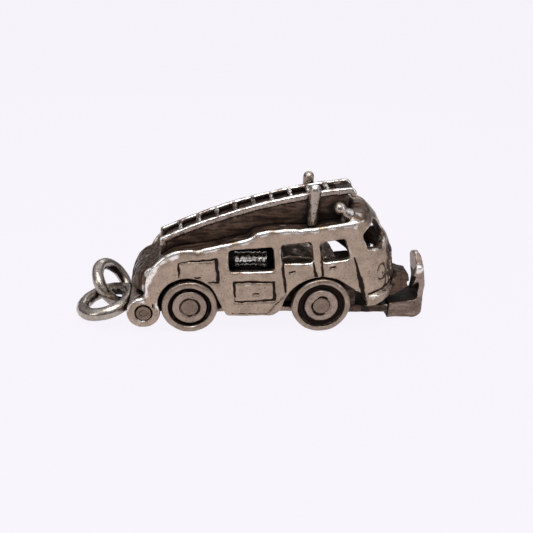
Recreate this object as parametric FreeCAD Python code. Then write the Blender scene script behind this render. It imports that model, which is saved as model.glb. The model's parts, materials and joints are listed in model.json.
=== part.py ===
import FreeCAD, Part
import os
from math import cos, hypot, radians, sin, sqrt

# An opening silver charm in the shape of a fire engine, in millimetres.
# A hollow body shell swings up on a rivet at its rear, over a base plate that carries four
# turning wheels, the hose and the seats. X runs forward, Y to the left, Z up from the floor.
# Every X below is measured from the hinge rivet; save() moves the whole charm so that its
# length is centred on X = 0.

# ---- overall
body_width = 6.2
bow_front = 20.6          # foremost point of the rounded front
wall = 0.6
wheelbase = 10.6

# ---- hinge at the rear
hinge_z = 1.65
ear_radius = 1.3
barrel_radius = 1.25
barrel_width = 4.4
pin_radius = 0.65
pin_proud = 0.06
running_gap = 0.03        # radial, between a turning piece and its pin
press_gap = 0.01          # radial, round a riveted pin
side_gap = 0.06           # between faces that slide past each other

# ---- wheels, rear and front castings differ a little
rear_axle_x = 3.62
axle_radius = 0.62
axle_flare = 0.09
axle_flare_length = 0.2
wheel_width = 1.0
disc_sink = 0.07
groove_depth = 0.42
# columns: axle name, x, z, tyre radius, outer edge of the groove, edge of the inner disc
axle_table = [
    ("rear", rear_axle_x, 2.12, 2.27, 1.72, 1.36),
    ("front", rear_axle_x + wheelbase, 2.27, 2.42, 1.92, 1.36),
]
tyre_shoulder = 0.3       # rounding of the tyre's edges
groove_wall = 0.06        # the groove's walls lean out by this much
floor_z = -0.15           # the tyres stand on this height; save() puts it at zero

# ---- base plate
plate_bottom = 1.15
plate_top = 1.75
tongue_z = (0.7, 1.5)
tongue_lap = 0.6          # the tongue runs back under the plate by this much
plate_inset = 0.04        # the plate's edges lie this far inside the outer faces of the cheeks
tongue_width = 2.7
tongue_start = 17.3
cheek_thickness = 0.5
cheek_reach = 1.15        # half length of a cheek along X
cheek_top = 3.0

# ---- shell profile along the rim: rear arc, then straight runs forward
rear_edge = 0.1
rear_arc_radius = 3.5
rear_arc_z = 3.65
# columns: x, height of the side rim
rim_line = [(5.0, 7.32), (8.1, 8.12), (8.5, 8.55), (9.7, 8.87), (13.1, 9.05), (15.9, 9.6)]
rim_width = 0.45
deck_drop = 0.35
cap_start = 15.9          # the domed roof over the cab starts here
roof_top = 10.45
crown_radius = 5.6
bow_bottom = 2.15
sill_bottom = 1.3
sill_front = 11.0         # the sill is level up to here
# columns: height, x where the straight sides end, x of the middle of the rounded front
bow_sections = [
    (0.0, 17.2, 20.2), (4.3, 17.5, bow_front), (6.4, 17.3, 20.2), (7.6, 16.9, 19.65),
    (8.2, 16.6, 19.15), (9.4, 16.2, 18.5), (11.0, 15.8, 16.9),
]
bumper_z = (bow_bottom, 3.15)
bumper_proud = 0.3
bumper_start = 17.8
bumper_gap = 1.45         # half the bare stretch between the two halves of the bumper
dish = (16.7, -1.5, 10.75)       # centre of the ball that hollows the roof in front of the siren
dish_radius = 0.8
cavity_rear = 1.3
barrel_slot = 1.4         # the rear is open between the ears up to this x
cavity_slope = [(cavity_rear, 5.2), (2.6, 5.95)]

# ---- openings in the sides: corner points as (x, z), rear bottom first, going round
middle_window = [(6.66, 5.25), (6.55, 7.1), (10.0, 7.42), (10.25, 5.38)]
crew_window = [(10.75, 6.0), (10.6, 7.6), (12.95, 7.88), (13.28, 6.12)]
driver_window = [(13.92, 6.1), (13.6, 7.8), (15.6, 8.2), (16.18, 6.45)]
window_corner = 0.22
# windscreen panes sit on the rounded corners: (distance outwards across the pane, z) round its outline
screen_pane = [(-1.8, 7.95), (-1.15, 8.9), (-0.35, 9.4), (1.2, 8.55), (0.9, 7.25), (-0.5, 7.2)]
screen_middle = (18.0, 2.2)      # x and distance from the middle of the body
screen_turn = radians(40)
screen_depth = 1.3
screen_corner = 0.25

# ---- rear panel, which bulges out between the rims
bulge_width = 4.9
bulge_bottom = 3.15
bulge_front = 1.5
bulge_plan = (1.2, 2.75, 2.749)  # centre x, half length, half width of its rounded plan
bulge_back = [(-1.15, bulge_bottom), (-0.9, 4.0), (-0.55, 4.7), (0.05, 5.15), (0.9, 5.55)]

# ---- wheel arches, as (x, z) runs and (via, end) arcs from the rear foot to the front foot
arch_feet = (1.1, 10.2)          # x where the rear arch and the front arch start
nose_foot = 18.15
rear_arch = [((arch_feet[0], 2.3),), ((3.3, 4.68), (5.6, 3.35)), ((6.45, 1.5),), ((6.9, 0),)]
front_arch_rear = [((10.3, sill_bottom),), ((10.9, 1.75),), ((11.2, 2.8),)]
front_arch_right = [((14.1, 4.86), (16.1, 4.2)), ((17.5, 3.35),), ((nose_foot, bow_bottom),)]
front_arch_left = [((12.9, 4.75), (14.4, 5.2)), ((15.5, 5.72), (16.6, 5.32)), ((17.15, 4.9),), ((17.7, 4.1),),
                   ((nose_foot, bow_bottom),)]

# ---- ladder
rail_spread = 1.05        # rail centres from the middle
rail_width = 0.26
rail_depth = 0.42
ladder_rear = (1.35, 7.25)
ladder_mid = (8.7, 10.15)
ladder_front = (15.9, 11.68)
ladder_tip = (16.55, 11.0)       # the rails curl down to here
tip_outer = (16.4, 11.5)
tip_inner = (16.15, 11.2)
tip_thickness = 0.35
tip_bar = (16.37, 11.15)
tip_bar_radius = 0.17
rung_first = 2.9
rung_pitch = 1.43
rung_count = 9
rung_radius = 0.14
foot_length = 0.4
bed_half = rail_spread + rail_width / 2
bed_rear = 1.75
bed_front = 15.3

# ---- roof fittings
post_x = 13.15
post_offset = 0.59        # from the middle of a rail out to the middle of a post
post_foot_radius = 0.33
post_top_radius = 0.42
post_top = 11.65
siren_rear = (14.85, 10.35)
siren_front = (16.0, 9.6)
siren_y = -1.85
siren_head = 0.38
siren_neck = (0.42, 0.27)        # distance from the middle of the head, and radius
siren_mouth = 0.52
siren_stand = (15.35, 10.0)      # x and top z of the stand
siren_stand_radius = 0.24

# ---- catch
lug_half = 0.85
lug_root = 19.4
# side view of the lug: sloping top, blunt face, a ledge under it, then the slanting underside
lug_outline = [(lug_root, 4.6), (20.6, 4.5), (21.9, 4.2), (22.05, 3.45), (21.85, 3.35), (22.1, 2.95),
               (20.6, 2.05), (lug_root, 2.05)]
catch_half = 1.25
catch_tab_half = 1.15
catch_rear = 20.35
catch_bottom = 0.2
catch_block_top = (1.6, 1.9)     # at the rear and at the foot of the upright
catch_thickness = 0.6
catch_front = 23.35
catch_bend = 0.7
catch_waist = 3.2                # the upright leans back above here
catch_top = 5.9
catch_lean = 0.5
catch_foot = 22.5
hook_top = (22.7, -0.92, 4.62)
hook_low = (22.5, -0.86, 3.7)
hook_radii = (0.38, 0.24)

# ---- hose and seats
coil_ends = (7.2, 9.75)
coil_radius = 0.62
coil_turns = 7
coil_notch = 0.12
coil_y = -1.1
coil_z = 5.55
stand_half = 0.45
stand_inset = 0.4                # the stand is this much shorter than the roll at each end
coil_cradle = 0.3                # how far up the roll its cradle reaches
# columns: seat name, rear x, front x, top z, then rear x, front x, top z and half width of its pedestal
seat_table = [
    ("crew", 10.9, 13.9, 6.3, 11.1, 12.8, 3.6, 1.4),
    ("driver", 14.2, 15.55, 6.2, 15.0, 17.2, 5.0, 1.95),
]
seat_half = 1.9
cushion_rise = 0.25              # the cushion is this much higher than its rear and front edges
cushion_edge = 0.15              # part of its depth over which it rises
cushion_drop = 0.8
# the steering post leans forward from the driver's pedestal and ends in a ball
post_low = (16.7, -1.6, 4.6)
post_high = (18.1, -1.6, 6.95)
post_thickness = 0.22
post_ball = 0.28

# ---- rings
ring_wire = 0.54
charm_ring_radius = 1.9875
charm_ring_centre = (-3.17, 0, 1.105)
charm_ring_normal = (-0.262, -0.029, 0.965)
jump_wire = 0.5
jump_ring_radius = 1.82
jump_centre = (-2.78, 1.883, 1.84)
jump_normal = (0.767, -0.226, 0.6)

half = body_width / 2
rear_reach = charm_ring_radius * charm_ring_normal[2] + ring_wire - charm_ring_centre[0]
hinge_x = (rear_reach - catch_front) / 2


def point(x, z, y=0.0):
    return FreeCAD.Vector(x, y, z)


def face_xz(start, steps, y=0.0):
    """Face in the XZ plane. A step is (end,) for a line or (via, end) for an arc."""
    edges = []
    here = point(*start, y)
    for *via, end in steps:
        there = point(*end, y)
        if via:
            edges.append(Part.Arc(here, point(*via[0], y), there).toShape())
        else:
            edges.append(Part.LineSegment(here, there).toShape())
        here = there
    if here.distanceToPoint(point(*start, y)) > 1e-6:
        edges.append(Part.LineSegment(here, point(*start, y)).toShape())
    return Part.Face(Part.Wire(edges))


def slab(start, steps, y_low, y_high):
    """A face in XZ given a thickness along Y."""
    return face_xz(start, steps, y_low).extrude(FreeCAD.Vector(0, y_high - y_low, 0))


def box(x_low, x_high, y_low, y_high, z_low, z_high):
    size = (x_high - x_low, y_high - y_low, z_high - z_low)
    return Part.makeBox(*size, FreeCAD.Vector(x_low, y_low, z_low))


def rod_y(x, z, radius, y_low, y_high):
    return Part.makeCylinder(radius, y_high - y_low, point(x, z, y_low), FreeCAD.Vector(0, 1, 0))


def save(name, shape):
    placed = shape.copy()
    placed.translate(FreeCAD.Vector(hinge_x, 0, -floor_z))
    placed.exportStep("parts/" + name + ".step")


def rear_arc(drop):
    """Ends and middle of the rear arc, lowered and moved in by drop."""
    radius = rear_arc_radius - drop
    centre_x = rear_edge + rear_arc_radius
    middle = (centre_x - radius * cos(radians(45)), rear_arc_z + radius * sin(radians(45)))
    return (centre_x - radius, rear_arc_z), middle, (centre_x, rear_arc_z + radius)


def rim_steps(drop):
    return [((x, z - drop),) for x, z in rim_line]


def plan_solid(inset):
    """The body's outline at every height: straight sides, and a front that rounds and leans back."""
    side = half - inset
    wires = []
    for z, side_end, front in bow_sections:
        corner, middle, other = point(side_end, z, side), point(front - inset, z), point(side_end, z, -side)
        rear_corners = [point(-2 * ear_radius, z, -side), point(-2 * ear_radius, z, side)]
        runs = [other, *rear_corners, corner]
        edges = [Part.Arc(corner, middle, other).toShape()]
        edges += [Part.makeLine(a, b) for a, b in zip(runs, runs[1:])]
        wires.append(Part.Wire(edges))
    return Part.makeLoft(wires, True, True)


def deck_region():
    """Everything above the sunk deck, up to where the cab roof starts."""
    low, middle, high = rear_arc(deck_drop)
    steps = [(middle, high)] + rim_steps(deck_drop)
    steps += [((cap_start, 2 * roof_top),), ((-2 * ear_radius, 2 * roof_top),), ((-2 * ear_radius, low[1]),)]
    inner = half - rim_width
    return slab(low, steps, -inner, inner)


def arch_cutters():
    """Cutters for both rear arches at once, and for the right and left front arches."""
    reach = body_width
    rear_foot, front_foot = arch_feet
    cutters = [slab((rear_foot, 0), rear_arch, -reach, reach)]
    for y_low, y_high, arch in ((-reach, 0, front_arch_right), (0, reach, front_arch_left)):
        steps = front_arch_rear + arch + [((nose_foot, 0),)]
        cutters.append(slab((front_foot, 0), steps, y_low, y_high))
    return cutters


def window_cutter(corners):
    pane = slab(corners[0], [(corner,) for corner in corners[1:]], -body_width, body_width)
    across = [e for e in pane.Edges if abs(e.tangentAt(e.FirstParameter).y) > 0.9]
    return pane.makeFillet(window_corner, across)


def screen_cutter(side):
    """Prism through one windscreen pane, square to the rounded corner, its corners rounded."""
    x, y = screen_middle
    outwards = FreeCAD.Vector(cos(screen_turn), side * sin(screen_turn), 0)
    across = FreeCAD.Vector(-sin(screen_turn), side * cos(screen_turn), 0)
    inside = point(x, 0, side * y).sub(outwards * screen_depth)
    corners = [inside.add(across * w).add(point(0, z)) for w, z in screen_pane]
    face = Part.Face(Part.makePolygon(corners + corners[:1]))
    pane = face.extrude(outwards * (2 * screen_depth))
    along = [e for e in pane.Edges if abs(e.tangentAt(e.FirstParameter).dot(outwards)) > 0.9]
    return pane.makeFillet(screen_corner, along)


def crown(drop):
    """Everything under the domed roof, lowered by drop."""
    radius = crown_radius - drop
    reach = bow_front + 4 * ear_radius
    barrel = Part.makeCylinder(radius, reach, point(-2 * ear_radius, roof_top - crown_radius),
                               FreeCAD.Vector(1, 0, 0))
    return barrel.fuse(box(-2 * ear_radius, reach, -half, half, 0, roof_top - crown_radius + wall))


def body_shell():
    low, middle, high = rear_arc(0)
    beyond = bow_front + wall
    steps = [(low,), (middle, high)] + rim_steps(0)
    steps += [((cap_start + rim_width, roof_top),), ((beyond, roof_top),), ((beyond, bow_bottom),),
              ((nose_foot, bow_bottom),), ((sill_front, sill_bottom),)]
    shell = slab((rear_edge, sill_bottom), steps, -half, half).common(plan_solid(0))
    behind_cap = box(-2 * ear_radius, cap_start, -half, half, 0, roof_top)
    shell = shell.common(crown(0).fuse(behind_cap))
    # hollow, open below
    ceiling = deck_drop + wall
    low, middle, high = rear_arc(ceiling)
    inner_steps = [(corner,) for corner in cavity_slope + [high]] + rim_steps(ceiling)
    inner_steps += [((cap_start + rim_width, roof_top - wall),), ((beyond, roof_top - wall),), ((beyond, 0),)]
    cavity = slab((cavity_rear, 0), inner_steps, -half + wall, half - wall)
    cavity = cavity.common(plan_solid(wall)).common(crown(wall).fuse(behind_cap))
    shell = shell.cut(cavity).cut(deck_region())
    # rear panel
    outline = bulge_back + [(bulge_front, bulge_back[-1][1])]
    bulge = slab((bulge_front, bulge_bottom), [(corner,) for corner in outline], -bulge_width / 2, bulge_width / 2)
    centre_x, long_half, wide_half = bulge_plan
    rounding = Part.Ellipse(FreeCAD.Vector(centre_x, 0, 0), long_half, wide_half)
    rounded = Part.Face(Part.Wire(rounding.toShape())).extrude(FreeCAD.Vector(0, 0, roof_top))
    shell = shell.fuse(bulge.common(rounded).cut(cavity))
    # room for the barrel between the ears, then the wheel arches
    ear_inner = barrel_width / 2 + side_gap
    shell = shell.cut(box(-2 * ear_radius, barrel_slot, -ear_inner, ear_inner, 0, bulge_bottom))
    for cutter in arch_cutters():
        shell = shell.cut(cutter)
    shell = shell.fuse(bumper())
    for side in (-1, 1):
        y_low, y_high = sorted((side * ear_inner, side * half))
        shell = shell.fuse(rod_y(0, hinge_z, ear_radius, y_low, y_high))
        shell = shell.cut(screen_cutter(side))
    shell = shell.cut(rod_y(0, hinge_z, pin_radius + running_gap, -body_width, body_width))
    for corners in (middle_window, crew_window, driver_window):
        shell = shell.cut(window_cutter(corners))
    shell = shell.cut(Part.makeSphere(dish_radius, FreeCAD.Vector(*dish)))
    return shell.removeSplitter()


def bumper():
    """Raised band round the foot of the front, in two halves."""
    band = plan_solid(-bumper_proud).cut(plan_solid(0))
    halves = None
    for side in (-1, 1):
        y_low, y_high = sorted((side * bumper_gap, side * half))
        piece = band.common(box(bumper_start, bow_front + wall, y_low, y_high, *bumper_z))
        halves = piece if halves is None else halves.fuse(piece)
    return halves


def ladder_arc(drop):
    return [(x, z - drop) for x, z in (ladder_rear, ladder_mid, ladder_front)]


def ladder_height(x):
    """Height of the rails' top edge at x: a circle through the three ladder points."""
    (x1, z1), (x2, z2), (x3, z3) = ladder_rear, ladder_mid, ladder_front
    twice = 2 * (x1 * (z2 - z3) + x2 * (z3 - z1) + x3 * (z1 - z2))
    s1, s2, s3 = x1**2 + z1**2, x2**2 + z2**2, x3**2 + z3**2
    centre_x = (s1 * (z2 - z3) + s2 * (z3 - z1) + s3 * (z1 - z2)) / twice
    centre_z = (s1 * (x3 - x2) + s2 * (x1 - x3) + s3 * (x2 - x1)) / twice
    return centre_z + sqrt(hypot(x1 - centre_x, z1 - centre_z)**2 - (x - centre_x)**2)


def ladder_bed():
    """Solid block under the ladder, standing on the sunk deck."""
    rear, middle, front = ladder_arc(rail_depth)
    top = slab((rear[0], 0), [(rear,), (middle, front), ((front[0], 0),)], -bed_half, bed_half)
    bed = top.common(box(bed_rear, bed_front, -bed_half, bed_half, 0, 2 * roof_top))
    return bed.common(deck_region())


def ladder():
    rear, middle, front = ladder_arc(0)
    rear_low, middle_low, front_low = ladder_arc(rail_depth)
    tip_x, tip_z = ladder_tip
    steps = [(rear,), (middle, front), (tip_outer, ladder_tip), ((tip_x - tip_thickness, tip_z),),
             (tip_inner, front_low), (middle_low, rear_low)]
    shape = None
    for side in (-1, 1):
        middle_y = side * rail_spread
        rail = slab(rear_low, steps, middle_y - rail_width / 2, middle_y + rail_width / 2)
        shape = rail if shape is None else shape.fuse(rail)
    for index in range(rung_count):
        x = rung_first + index * rung_pitch
        z = ladder_height(x) - rail_depth / 2
        shape = shape.fuse(rod_y(x, z, rung_radius, -rail_spread, rail_spread))
    shape = shape.fuse(rod_y(*tip_bar, tip_bar_radius, -rail_spread, rail_spread))
    for side in (-1, 1):
        middle_y = side * rail_spread
        leg = box(rear[0], rear[0] + foot_length, middle_y - rail_width / 2, middle_y + rail_width / 2,
                  0, ladder_height(rear[0] + foot_length) - rail_depth / 2)
        shape = shape.fuse(leg.common(deck_region()))
    return shape.removeSplitter()


def gallows(side):
    """Tapered post with a ball top, its foot cut to the slope of the deck."""
    y = side * (rail_spread + post_offset)
    shaft = Part.makeCone(post_foot_radius, post_top_radius, post_top, point(post_x, 0, y))
    ball = Part.makeSphere(post_top_radius, point(post_x, post_top, y))
    return shaft.fuse(ball).common(deck_region()).removeSplitter()


def siren():
    """Horn that leans back from the cap over a short stand, with a rounded head and a waist behind it."""
    start = point(*siren_rear, siren_y)
    along = point(*siren_front, siren_y).sub(start)
    slant = siren_head * sqrt(0.5)
    neck_x, neck_radius = siren_neck
    steps = [((-slant, slant), (0, siren_head)), ((neck_x, neck_radius),), ((along.Length, siren_mouth),),
             ((along.Length, 0),)]
    horn = face_xz((-siren_head, 0), steps).revolve(point(0, 0), FreeCAD.Vector(1, 0, 0), 360)
    horn.Placement = FreeCAD.Placement(start, FreeCAD.Rotation(FreeCAD.Vector(1, 0, 0), along))
    stand_x, stand_top = siren_stand
    stand = Part.makeCylinder(siren_stand_radius, stand_top, point(stand_x, 0, siren_y))
    behind_cap = box(0, cap_start, -half, half, 0, 2 * roof_top)
    return horn.fuse(stand).common(deck_region().common(behind_cap)).removeSplitter()


def catch_lug(shell):
    """Lug on the front that the catch spring holds, with a ledge under its face."""
    block = slab(lug_outline[0], [(corner,) for corner in lug_outline[1:]], -lug_half, lug_half)
    return block.cut(plan_solid(0)).cut(shell)


def catch_spring():
    """Block in front of the tongue that bends up in front of the lug, with a hook on its inner face."""
    front, low, thick = catch_front, catch_bottom, catch_thickness
    bend, top_z = catch_bend, catch_top - catch_thickness / 2
    corner = (front - bend * (1 - cos(radians(45))), low + bend * (1 - sin(radians(45))))
    block_rear, block_front = catch_block_top
    steps = [((front - bend, low),), (corner, (front, low + bend)), ((front, catch_waist),),
             ((front - catch_lean, top_z),),
             ((front - catch_lean - thick / 2, catch_top), (front - catch_lean - thick, top_z)),
             ((front - thick, catch_waist),), ((front - thick, block_front + (front - thick - catch_foot)),),
             ((catch_foot, block_front),), ((catch_rear, block_rear),)]
    strip = slab((catch_rear, low), steps, -catch_half, catch_half)
    neck = block_front + catch_half - catch_tab_half
    upright = box(catch_rear, front + thick, -catch_tab_half, catch_tab_half, 0, catch_top - catch_tab_half)
    rounding = Part.makeCylinder(catch_tab_half, front, point(0, catch_top - catch_tab_half),
                                 FreeCAD.Vector(1, 0, 0))
    block = box(0, front + thick, -catch_half, catch_half, 0, neck)
    strip = strip.common(upright.fuse([rounding, block]))
    start, along = FreeCAD.Vector(*hook_top), FreeCAD.Vector(*hook_low).sub(FreeCAD.Vector(*hook_top))
    hook = Part.makeSphere(hook_radii[0], start).fuse([
        Part.makeCone(*hook_radii, along.Length, start, along),
        Part.makeSphere(hook_radii[1], FreeCAD.Vector(*hook_low))])
    return strip.fuse(hook).removeSplitter()


def base_plate():
    shape = rod_y(0, hinge_z, barrel_radius, -barrel_width / 2, barrel_width / 2)
    cheek_outer = half - wheel_width - side_gap
    plate_half = cheek_outer - plate_inset
    floor = box(0, tongue_start, -plate_half, plate_half, plate_bottom, plate_top)
    tongue = box(tongue_start - tongue_lap, catch_rear, -tongue_width / 2, tongue_width / 2, *tongue_z)
    shape = shape.fuse([floor, tongue])
    for name, x, z, *sizes in axle_table:
        for side in (-1, 1):
            y_low, y_high = sorted((side * cheek_outer, side * (cheek_outer - cheek_thickness)))
            steps = [((x - cheek_reach, z),), ((x, cheek_top), (x + cheek_reach, z)),
                     ((x + cheek_reach, plate_bottom),)]
            shape = shape.fuse(slab((x - cheek_reach, plate_bottom), steps, y_low, y_high))
    shape = shape.cut(rod_y(0, hinge_z, pin_radius + press_gap, -half, half))
    for name, x, z, *sizes in axle_table:
        shape = shape.cut(rod_y(x, z, axle_radius + press_gap, -half, half))
    return shape.removeSplitter()


def revolved(profile, x, z, side):
    """Turn a list of (radius, distance from the outer face) round an axle and put it in place."""
    edges = Part.makePolygon([FreeCAD.Vector(r, -d, 0) for r, d in profile + profile[:1]])
    solid = Part.Face(edges).revolve(FreeCAD.Vector(0, 0, 0), FreeCAD.Vector(0, 1, 0), 360)
    if side < 0:
        solid = solid.mirror(FreeCAD.Vector(0, 0, 0), FreeCAD.Vector(0, 1, 0))
    solid.translate(point(x, z, side * half))
    return solid


def axle(x, z):
    length = half - disc_sink
    shape = rod_y(x, z, axle_radius, -length, length)
    for side in (-1, 1):
        flare = [(0, disc_sink), (axle_radius + axle_flare, disc_sink),
                 (axle_radius, disc_sink + axle_flare_length), (0, disc_sink + axle_flare_length)]
        shape = shape.fuse(revolved(flare, x, z, side))
    return shape.removeSplitter()


def wheel(x, z, tyre, groove, disc, side):
    """Turned profile, as (radius, distance inwards from the outer face)."""
    bore = axle_radius + running_gap
    slant = tyre_shoulder * (1 - sqrt(0.5))
    profile = [
        (bore + axle_flare, disc_sink), (disc, disc_sink), (disc + groove_wall, groove_depth),
        (groove - groove_wall, groove_depth), (groove, 0.0), (tyre - tyre_shoulder, 0.0),
        (tyre - slant, slant), (tyre, tyre_shoulder), (tyre, wheel_width - tyre_shoulder),
        (tyre - slant, wheel_width - slant), (tyre - tyre_shoulder, wheel_width), (bore, wheel_width),
        (bore, disc_sink + axle_flare_length + running_gap),
        (bore + axle_flare, disc_sink + running_gap),
    ]
    return revolved(profile, x, z, side)


def hose_coil():
    """Ribbed roll of hose lying along X, on a stand from the base plate."""
    rear, front = coil_ends
    pitch = (front - rear) / coil_turns
    steps = [((rear, coil_radius - coil_notch),)]
    for turn in range(coil_turns):
        x = rear + turn * pitch
        steps += [((x + pitch / 2, coil_radius),), ((x + pitch, coil_radius - coil_notch),)]
    steps.append(((front, 0),))
    face = face_xz((rear, 0), steps)
    roll = face.revolve(FreeCAD.Vector(0, 0, 0), FreeCAD.Vector(1, 0, 0), 360)
    roll.translate(point(0, coil_z, coil_y))
    return roll


def seat(rear, front, top, pedestal_rear, pedestal_front, pedestal_top, pedestal_half):
    """Cushion with a domed top on a narrower pedestal that stands on the base plate."""
    width = front - rear
    edge = cushion_edge * width
    steps = [((rear, top - cushion_rise),), ((rear + edge, top),), ((front - edge, top - cushion_rise),),
             ((front, top - cushion_drop),), ((front, pedestal_top),)]
    cushion = slab((rear, pedestal_top), steps, -seat_half, seat_half)
    pedestal = box(pedestal_rear, pedestal_front, -pedestal_half, pedestal_half, plate_top, pedestal_top)
    return cushion.fuse(pedestal).removeSplitter()


def steering_post():
    low, high = FreeCAD.Vector(*post_low), FreeCAD.Vector(*post_high)
    along = high.sub(low)
    shaft = Part.makeCylinder(post_thickness, along.Length, low, along)
    pedestal_top = dict((row[0], row[6]) for row in seat_table)["driver"]
    above_pedestal = box(0, bow_front, -half, half, pedestal_top, roof_top)
    return shaft.fuse(Part.makeSphere(post_ball, high)).common(above_pedestal)


def ring(radius, wire, centre, normal):
    return Part.makeTorus(radius, wire, FreeCAD.Vector(*centre), FreeCAD.Vector(*normal))


def hose_stand():
    """Post from the base plate whose top is hollowed to cradle the roll of hose."""
    rear, front = (coil_ends[0] + stand_inset, coil_ends[1] - stand_inset)
    post = box(rear, front, coil_y - stand_half, coil_y + stand_half, plate_top,
               coil_z - coil_radius + coil_cradle)
    seat_round = Part.makeCylinder(coil_radius, front, point(0, coil_z, coil_y), FreeCAD.Vector(1, 0, 0))
    return post.cut(seat_round)


os.makedirs("parts", exist_ok=True)
shell = body_shell()
save("body_shell", shell)
save("ladder_bed", ladder_bed())
save("ladder", ladder())
save("gallows_right", gallows(-1))
save("gallows_left", gallows(1))
save("siren", siren())
save("catch_lug", catch_lug(shell))
base = base_plate()
save("base_plate", base)
save("hinge_pin", rod_y(0, hinge_z, pin_radius, -half - pin_proud, half + pin_proud))
for name, x, z, *sizes in axle_table:
    save(name + "_axle", axle(x, z))
    save("wheel_" + name + "_right", wheel(x, z, *sizes, -1))
    save("wheel_" + name + "_left", wheel(x, z, *sizes, 1))
save("catch_spring", catch_spring())
save("hose_coil", hose_coil())
save("hose_stand", hose_stand())
for name, *sizes in seat_table:
    save(name + "_seat", seat(*sizes).cut(base))
save("steering_post", steering_post())
charm_ring = ring(charm_ring_radius, ring_wire, charm_ring_centre, charm_ring_normal)
save("charm_ring", charm_ring.cut(rod_y(0, hinge_z, barrel_radius, -half, half)))
save("jump_ring", ring(jump_ring_radius, jump_wire, jump_centre, jump_normal))
print("hinge_x", round(hinge_x, 4), "shell volume", round(shell.Volume, 1), shell.isValid(), len(shell.Solids))
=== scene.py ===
import json
from math import cos, pi, radians, sin

import bmesh
import bpy
import numpy as np
from mathutils import Matrix, Vector
from mathutils.bvhtree import BVHTree


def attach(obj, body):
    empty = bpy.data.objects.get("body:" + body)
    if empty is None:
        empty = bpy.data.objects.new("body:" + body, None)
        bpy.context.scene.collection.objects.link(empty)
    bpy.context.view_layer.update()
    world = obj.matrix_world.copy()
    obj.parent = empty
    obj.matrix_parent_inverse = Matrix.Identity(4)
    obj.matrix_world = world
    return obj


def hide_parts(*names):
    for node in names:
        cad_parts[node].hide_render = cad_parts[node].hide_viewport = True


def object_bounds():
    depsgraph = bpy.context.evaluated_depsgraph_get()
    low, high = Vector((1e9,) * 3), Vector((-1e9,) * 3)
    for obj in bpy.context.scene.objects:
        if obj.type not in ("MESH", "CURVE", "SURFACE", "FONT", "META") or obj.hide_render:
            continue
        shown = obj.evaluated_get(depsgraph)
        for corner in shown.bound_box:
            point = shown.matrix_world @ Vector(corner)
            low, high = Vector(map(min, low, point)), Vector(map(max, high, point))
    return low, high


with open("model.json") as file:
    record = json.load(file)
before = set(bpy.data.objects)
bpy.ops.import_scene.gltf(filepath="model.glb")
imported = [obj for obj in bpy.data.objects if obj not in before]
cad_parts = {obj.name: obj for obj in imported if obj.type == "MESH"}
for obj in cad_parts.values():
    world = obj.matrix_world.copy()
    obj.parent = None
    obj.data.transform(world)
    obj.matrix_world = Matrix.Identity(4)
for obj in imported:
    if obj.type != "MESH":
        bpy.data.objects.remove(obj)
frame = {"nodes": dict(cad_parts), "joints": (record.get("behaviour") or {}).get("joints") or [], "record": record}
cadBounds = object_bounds()
mm = 0.001
# points below are in millimetres: x forward from the hinge rivet, and z so that the rivet is at rivetHeight
rivetHeight = 1.65
# further off than any point of the part
far = 99.0
rivet = next(j["pos_m"] for j in frame["joints"] if j["name"] == "shell_hinge")
origin = Vector((rivet[0], 0, rivet[2] - rivetHeight * mm))
print("frame loaded:", len(frame["nodes"]), "nodes")


def place(x, y, z):
    return Vector((x, y, z)) * mm + origin


class Wire:
    # a socket that takes part in Python expressions
    def __init__(self, bench, socket):
        self.bench = bench
        self.socket = socket

    def combine(self, operation, other, swapped=False):
        pair = (other, self) if swapped else (self, other)
        return self.bench.node("ShaderNodeMath", dict(enumerate(pair)), operation=operation)

    def larger(self, other):
        return self.combine("MAXIMUM", other)


for sign, operation in (("add", "ADD"), ("sub", "SUBTRACT"), ("mul", "MULTIPLY")):
    setattr(Wire, f"__{sign}__", lambda a, b, op=operation: a.combine(op, b))
    setattr(Wire, f"__r{sign}__", lambda a, b, op=operation: a.combine(op, b, swapped=True))


class Bench:
    # builds nodes in one tree, for shading or for geometry
    def __init__(self, tree):
        self.tree = tree

    def node(self, kind, inputs=None, output=0, **settings):
        made = self.tree.nodes.new(kind)
        for key, value in settings.items():
            setattr(made, key, value)
        for key, value in (inputs or {}).items():
            for one in value if isinstance(value, list) else [value]:
                if isinstance(one, Wire):
                    self.tree.links.new(one.socket, made.inputs[key])
                else:
                    made.inputs[key].default_value = one
        return Wire(self, made.outputs[output]) if len(made.outputs) else made

    def blend(self, factor, first, second):
        return self.node("ShaderNodeMix", {0: factor, 6: first, 7: second}, 2, data_type="RGBA")

    def ramp(self, value, low, high):
        return self.node("ShaderNodeMapRange", {"Value": value, "From Min": low, "From Max": high},
                         interpolation_type="SMOOTHSTEP")

    def noise(self, where, scale, detail):
        inputs = {"Vector": where, "Scale": scale, "Detail": detail, "Roughness": noiseRoughness}
        return self.node("ShaderNodeTexNoise", inputs)

    def stretched(self, where, scale, detail):
        across = self.node("ShaderNodeMapping", {"Vector": where, "Scale": scale})
        return self.noise(across, 1.0, detail)

    def attribute(self, name):
        return self.node("ShaderNodeAttribute", None, "Fac", attribute_name=name)


def newMaterial(name):
    material = bpy.data.materials.new(name)
    material.use_nodes = True
    material.node_tree.nodes.clear()
    return material, Bench(material.node_tree)


# place, near and far are in millimetres, like lens and sensor; turns are in degrees
cameraSet = dict(place=(3.311, -52.079, 29.092), azimuth=-7.26, elevation=25.23, roll=-3.44, lens=47.33,
                 sensor=36, near=1, far=20000)
paleColour = (0.930, 0.905, 0.965, 1)
# floorHalf is in metres
stageSet = dict(floorHalf=1.5, floorAlbedo=(0.90, 0.88, 0.90, 1), glowSeen=0.97, glowMirrored=0.62,
                skyColour=(0.95, 0.95, 1.0, 1), sky=0.60, horizon=0.10, zenith=0.75, zenithFrom=0.95)
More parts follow.
